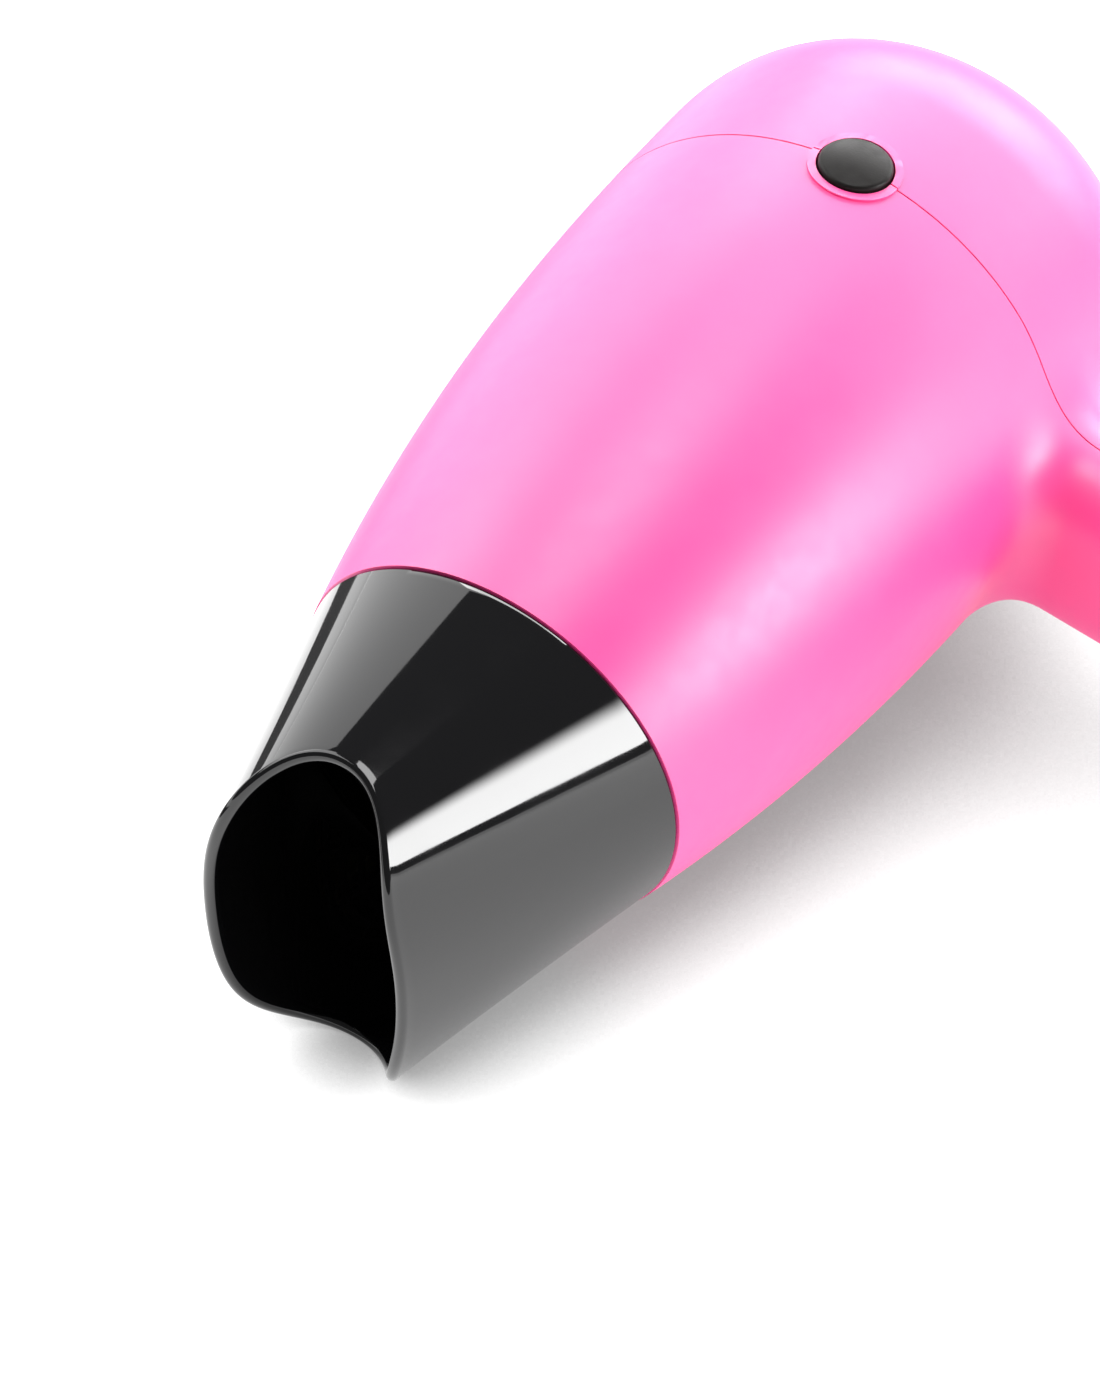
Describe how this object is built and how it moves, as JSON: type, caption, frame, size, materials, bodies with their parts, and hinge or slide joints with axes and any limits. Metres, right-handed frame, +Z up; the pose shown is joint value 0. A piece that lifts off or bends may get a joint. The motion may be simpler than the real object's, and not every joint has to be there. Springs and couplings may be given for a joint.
{
  "type": "travel hair dryer",
  "caption": "Compact hair dryer with a tapered barrel, slot concentrator nozzle, round side button and folding handle with a hanging loop.",
  "frame": {"origin": "centre of the bounding box, on the surface that the dryer lies on", "axes": "+X along the barrel towards the nozzle, +Y along the handle towards its end, +Z up"},
  "size_m": [0.1498, 0.2, 0.0715],
  "materials": {
    "pink_shell": "soft-touch matt coating",
    "gloss_black": "high gloss",
    "satin_black": "satin",
    "dark_plastic": "matt, heat resistant",
    "steel": "plain",
    "heater_wire": "heat-tinted resistance wire",
    "mica": "mica sheet",
    "white_plastic": "matt",
    "circuit_board": "lacquered board",
    "black_rubber": "matt"
  },
  "bodies": {
    "housing": {"neck_screw": "steel", "hinge_pin": "steel", "hinge_cap_left": "satin_black", "hinge_cap_right": "satin_black", "front_housing": "pink_shell", "rear_housing": "pink_shell", "mouth_ring": "dark_plastic", "outlet_grille": "dark_plastic", "mica_sleeve": "mica", "mica_plate_upright": "mica", "mica_plate_flat": "mica", "heating_coil_rear": "heater_wire", "heating_coil_front": "heater_wire", "thermostat": "steel", "thermal_fuse": "white_plastic", "motor_mount": "white_plastic", "motor": "steel", "rectifier_board": "circuit_board", "side_plug": "satin_black", "cool_shot_switch": "dark_plastic", "cool_shot_spring": "steel"},
    "nozzle_ring": {"nozzle_ring": "satin_black"},
    "nozzle": {"nozzle": "gloss_black"},
    "inlet_cover": {"inlet_grille": "satin_black", "filter_screen": "steel"},
    "impeller": {"fan": "dark_plastic", "motor_shaft": "steel"},
    "cool_shot": {"cool_shot_button": "satin_black"},
    "handle": {"handle_front": "pink_shell", "handle_rear": "pink_shell", "handle_screw_upper": "steel", "handle_screw_lower": "steel", "speed_switch": "dark_plastic", "voltage_switch": "dark_plastic", "cord_gland": "black_rubber"},
    "speed_slide": {"speed_slider": "satin_black"},
    "voltage_dial": {"voltage_selector": "satin_black"},
    "loop": {"hanging_loop": "satin_black"}
  },
  "joints": [
    {"name": "nozzle_pull", "type": "slide", "parent": "housing", "child": "nozzle_ring", "axis": [0.9927, 0, -0.121], "range_m": [0, 0.014]},
    {"name": "nozzle_swivel", "type": "hinge", "parent": "nozzle_ring", "child": "nozzle", "pos_m": [0.03973, -0.06584, 0.02665], "axis": [0.9927, 0, -0.121], "continuous": true},
    {"name": "inlet_cover_pull", "type": "slide", "parent": "housing", "child": "inlet_cover", "axis": [-0.9927, 0, 0.121], "range_m": [0, 0.008]},
    {"name": "fan_spin", "type": "hinge", "parent": "housing", "child": "impeller", "pos_m": [-0.05259, -0.06584, 0.03791], "axis": [0.9927, 0, -0.121], "continuous": true},
    {"name": "cool_shot_press", "type": "slide", "parent": "housing", "child": "cool_shot", "axis": [-0.1196, -0.1538, -0.9808], "range_m": [0, 0.0014], "stiffness_N_per_m": 900, "springref_m": -0.001, "deforming": ["cool_shot_spring"]},
    {"name": "handle_fold", "type": "hinge", "parent": "housing", "child": "handle", "pos_m": [-0.03138, -0.0067, 0.02604], "axis": [-0.1196, -0.1538, -0.9808], "range_deg": [0, 90]},
    {"name": "speed_slide_travel", "type": "slide", "parent": "handle", "child": "speed_slide", "axis": [-0.0507, -0.9857, 0.1608], "range_m": [0, 0.008]},
    {"name": "voltage_turn", "type": "hinge", "parent": "handle", "child": "voltage_dial", "pos_m": [-0.03622, 0.05398, 0.01712], "axis": [-0.9915, 0.0689, 0.1101], "range_deg": [0, 90]},
    {"name": "loop_swing", "type": "hinge", "parent": "handle", "child": "loop", "pos_m": [-0.03383, 0.08507, 0.01195], "axis": [0.1196, 0.1538, 0.9808], "range_deg": [-80, 80]}
  ]
}
